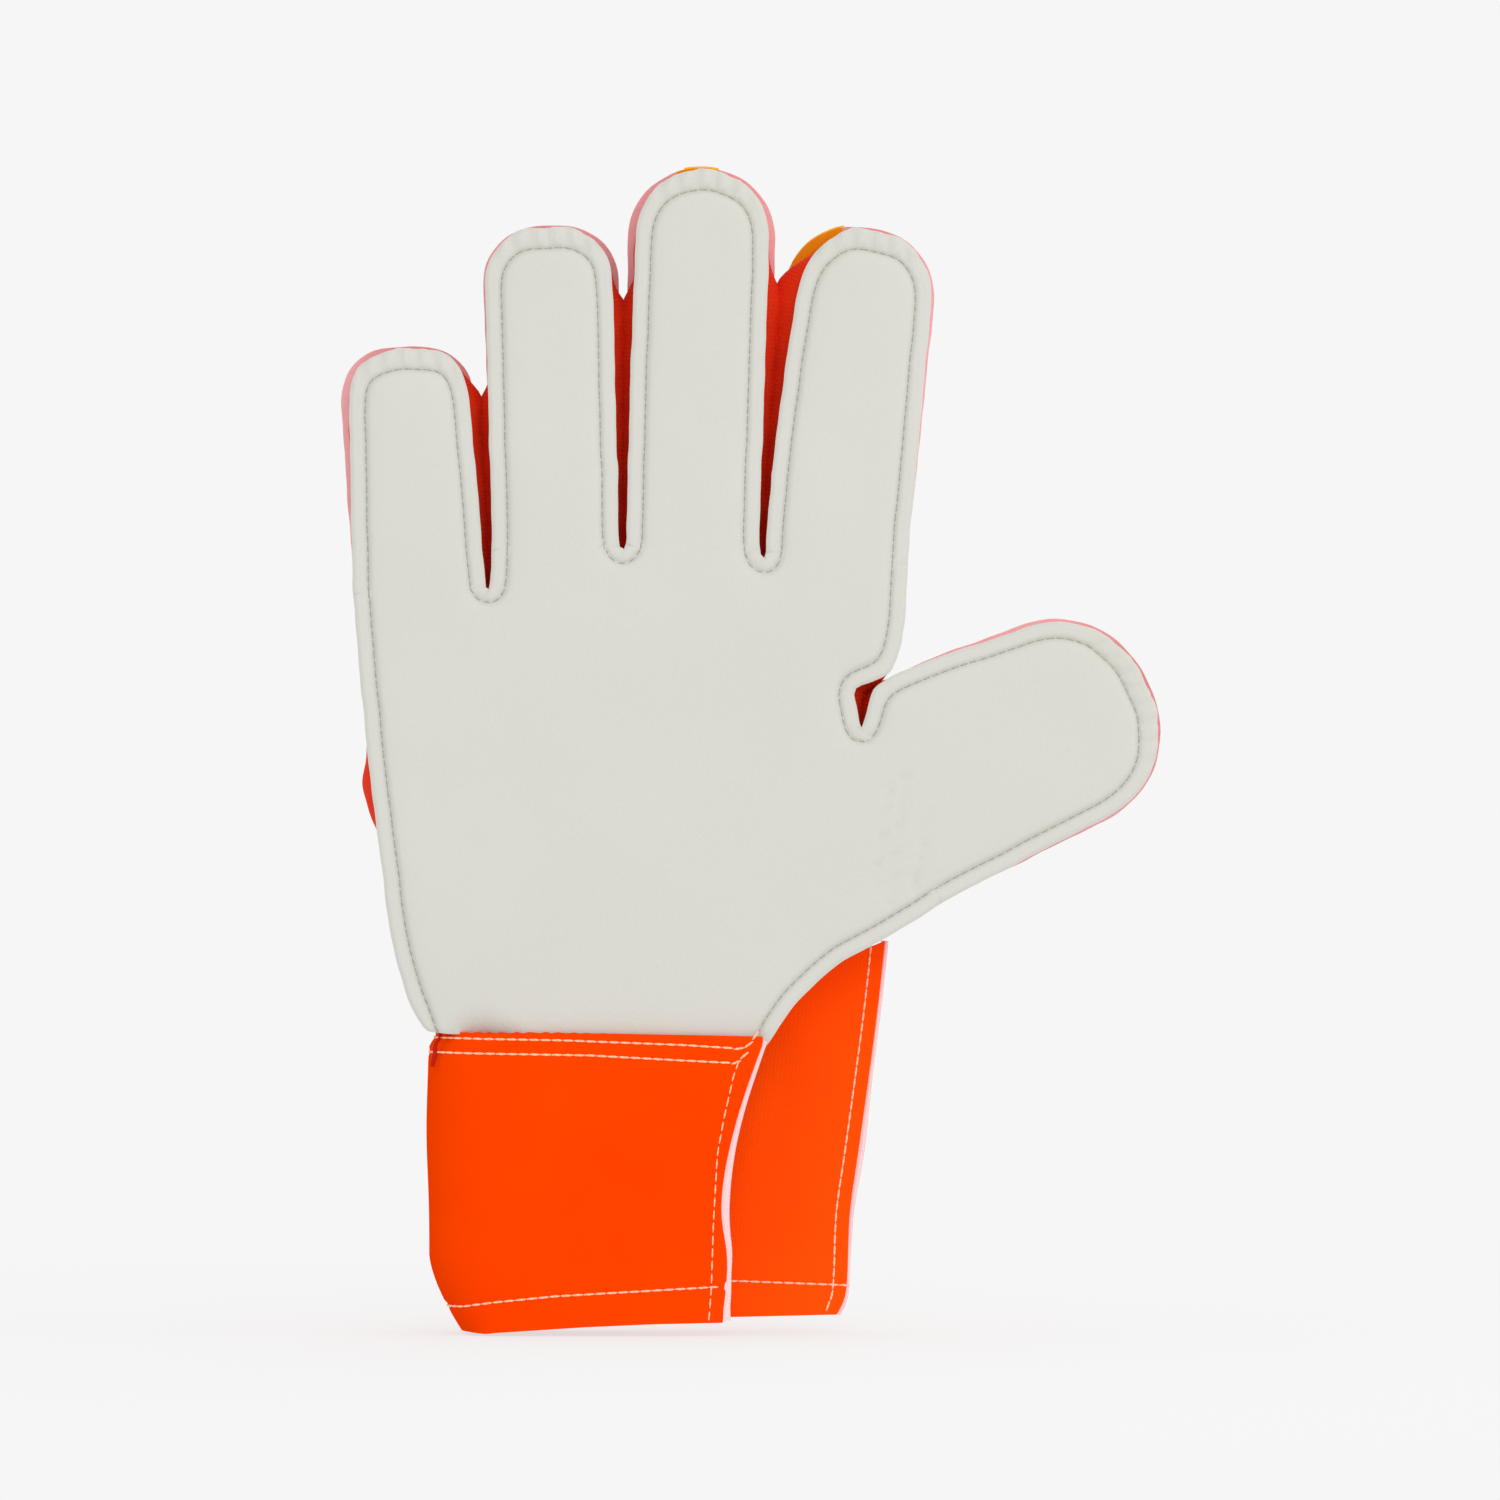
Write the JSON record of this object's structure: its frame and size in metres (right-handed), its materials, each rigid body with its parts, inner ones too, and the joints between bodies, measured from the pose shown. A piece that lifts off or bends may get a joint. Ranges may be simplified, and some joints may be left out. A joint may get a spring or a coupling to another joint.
{
  "type": "goalkeeper glove",
  "caption": "Right-hand goalkeeper glove with a flat-cut latex palm, gusseted fingers, padded backhand and a slit fabric cuff closed by a wrist strap.",
  "frame": {"origin": "centre of the wrist opening, in the plane of the cuff's lowest edge, where the hand goes in", "axes": "+Z from the wrist to the fingertips, -Y out of the palm, +X to the thumb side"},
  "size_m": [0.1919, 0.0359, 0.2719],
  "materials": {
    "palm_latex": "matt foam latex",
    "lining": "brushed knit",
    "backhand_foam": "knit laminated to foam",
    "gusset_fabric": "stretch knit",
    "cuff_fabric": "dense knit",
    "elastic": "woven elastic",
    "label": "woven satin",
    "binding": "folded tape",
    "loop_tape": "loop pile",
    "hook_tape": "moulded hooks",
    "amber_latex": "matt latex"
  },
  "bodies": {
    "hand": {"palm_latex": "palm_latex", "palm_lining": "lining", "backhand_foam": "backhand_foam", "backhand_lining": "lining", "ulnar_side_gusset": "gusset_fabric", "fourchette_little_ring": "gusset_fabric", "fourchette_ring_middle": "gusset_fabric", "fourchette_middle_index": "gusset_fabric", "index_side_gusset": "gusset_fabric", "thumb_web_gusset": "gusset_fabric", "thumb_base_gusset": "gusset_fabric", "cuff_palm_panel": "cuff_fabric", "cuff_side_panel": "cuff_fabric", "cuff_back_panel": "cuff_fabric", "cuff_palm_lining": "lining", "cuff_back_lining": "lining", "wrist_elastic": "elastic", "care_label": "label", "slit_edge_binding": "binding", "cuff_edge_binding": "binding", "strap_loop_patch": "loop_tape", "strap_anchor": "cuff_fabric"},
    "little_finger": {"little_palm_latex": "palm_latex", "little_palm_lining": "lining", "little_back_foam": "backhand_foam", "little_gusset_left": "gusset_fabric", "little_gusset_right": "gusset_fabric"},
    "ring_finger": {"ring_palm_latex": "palm_latex", "ring_palm_lining": "lining", "ring_back_foam": "backhand_foam", "ring_gusset_left": "gusset_fabric", "ring_gusset_right": "gusset_fabric"},
    "middle_finger": {"middle_palm_latex": "palm_latex", "middle_palm_lining": "lining", "middle_back_foam": "backhand_foam", "middle_gusset_left": "gusset_fabric", "middle_gusset_right": "gusset_fabric", "middle_tip_patch": "amber_latex"},
    "index_finger": {"index_palm_latex": "palm_latex", "index_palm_lining": "lining", "index_back_foam": "backhand_foam", "index_gusset_left": "gusset_fabric", "index_gusset_right": "gusset_fabric", "index_tip_patch": "amber_latex"},
    "thumb": {"thumb_palm_latex": "palm_latex", "thumb_palm_lining": "lining", "thumb_back_foam": "backhand_foam", "thumb_gusset_left": "gusset_fabric", "thumb_gusset_right": "gusset_fabric"},
    "strap": {"strap_band": "cuff_fabric", "strap_hook_patch": "hook_tape", "strap_pull_tab": "binding"}
  },
  "joints": [
    {"name": "little_flex", "type": "hinge", "parent": "hand", "child": "little_finger", "pos_m": [-0.0518, -0.014, 0.175], "axis": [0.9994, 0, 0.0349], "range_deg": [0, 85], "stiffness_Nm_per_rad": 0.02},
    {"name": "ring_flex", "type": "hinge", "parent": "hand", "child": "ring_finger", "pos_m": [-0.02, -0.014, 0.185], "axis": [0.9998, 0, 0.0209], "range_deg": [0, 85], "stiffness_Nm_per_rad": 0.02},
    {"name": "middle_flex", "type": "hinge", "parent": "hand", "child": "middle_finger", "pos_m": [0.012, -0.014, 0.185], "axis": [0.9996, 0, -0.0279], "range_deg": [0, 85], "stiffness_Nm_per_rad": 0.02},
    {"name": "index_flex", "type": "hinge", "parent": "hand", "child": "index_finger", "pos_m": [0.0456, -0.014, 0.183], "axis": [0.996, 0, -0.0889], "range_deg": [0, 85], "stiffness_Nm_per_rad": 0.02},
    {"name": "thumb_flex", "type": "hinge", "parent": "hand", "child": "thumb", "pos_m": [0.059, -0.014, 0.1241], "axis": [0.4147, 0, -0.91], "range_deg": [0, 60], "stiffness_Nm_per_rad": 0.02},
    {"name": "strap_open", "type": "hinge", "parent": "hand", "child": "strap", "pos_m": [0.03585, 0.0198, 0.033], "axis": [0, 0, -1], "range_deg": [0, 170]}
  ]
}
